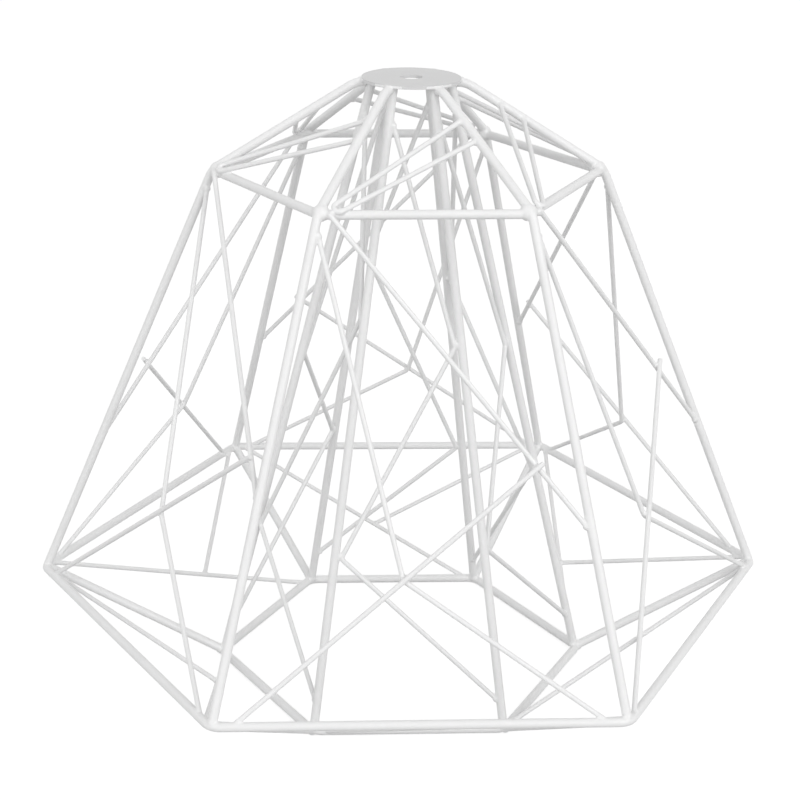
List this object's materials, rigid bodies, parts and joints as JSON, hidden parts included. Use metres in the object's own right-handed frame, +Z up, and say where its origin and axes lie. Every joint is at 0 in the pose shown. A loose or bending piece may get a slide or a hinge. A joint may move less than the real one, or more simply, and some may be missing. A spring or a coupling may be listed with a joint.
{
  "type": "bulb cage guard",
  "caption": "Hexagonal wire cage guard for a hanging bulb: bent outer ribs, ring rods, straight inner legs, thin cross braces and a round top disc with a nipple hole.",
  "frame": {"origin": "middle of the resting plane under the bottom ring, on the axis of the cage", "axes": "+Z up along the axis of the cage through the nipple hole; two corners of the rings lie on the X axis, and -Y is the front face seen in the picture"},
  "size_m": [0.3616, 0.316, 0.299],
  "materials": {
    "rod_coat": "satin",
    "wire_coat": "satin",
    "disc_coat": "satin"
  },
  "bodies": {
    "root": {"mounting_disc": "disc_coat", "shoulder_ring": "rod_coat", "waist_ring": "rod_coat", "bottom_ring": "rod_coat", "outer_rib_1": "rod_coat", "outer_rib_2": "rod_coat", "outer_rib_3": "rod_coat", "outer_rib_4": "rod_coat", "outer_rib_5": "rod_coat", "outer_rib_6": "rod_coat", "inner_leg_1": "rod_coat", "inner_leg_2": "rod_coat", "inner_leg_3": "rod_coat", "inner_leg_4": "rod_coat", "inner_leg_5": "rod_coat", "inner_leg_6": "rod_coat", "lower_strut_1": "rod_coat", "lower_strut_2": "rod_coat", "lower_strut_3": "rod_coat", "lower_strut_4": "rod_coat", "lower_strut_5": "rod_coat", "lower_strut_6": "rod_coat", "hairpin_brace_1": "wire_coat", "hairpin_brace_2": "wire_coat", "hairpin_brace_3": "wire_coat", "hairpin_brace_4": "wire_coat", "hairpin_brace_5": "wire_coat", "hairpin_brace_6": "wire_coat", "long_brace_1": "wire_coat", "long_brace_2": "wire_coat", "long_brace_3": "wire_coat", "long_brace_4": "wire_coat", "long_brace_5": "wire_coat", "long_brace_6": "wire_coat", "knee_brace_1": "wire_coat", "knee_brace_2": "wire_coat", "knee_brace_3": "wire_coat", "knee_brace_4": "wire_coat", "knee_brace_5": "wire_coat", "knee_brace_6": "wire_coat", "cross_brace_1": "wire_coat", "cross_brace_2": "wire_coat", "cross_brace_3": "wire_coat", "cross_brace_4": "wire_coat", "cross_brace_5": "wire_coat", "cross_brace_6": "wire_coat", "zigzag_brace_1": "wire_coat", "zigzag_brace_2": "wire_coat", "zigzag_brace_3": "wire_coat", "zigzag_brace_4": "wire_coat", "zigzag_brace_5": "wire_coat", "zigzag_brace_6": "wire_coat", "lower_brace_1": "wire_coat", "lower_brace_2": "wire_coat", "lower_brace_3": "wire_coat", "lower_brace_4": "wire_coat", "lower_brace_5": "wire_coat", "lower_brace_6": "wire_coat"}
  },
  "joints": []
}
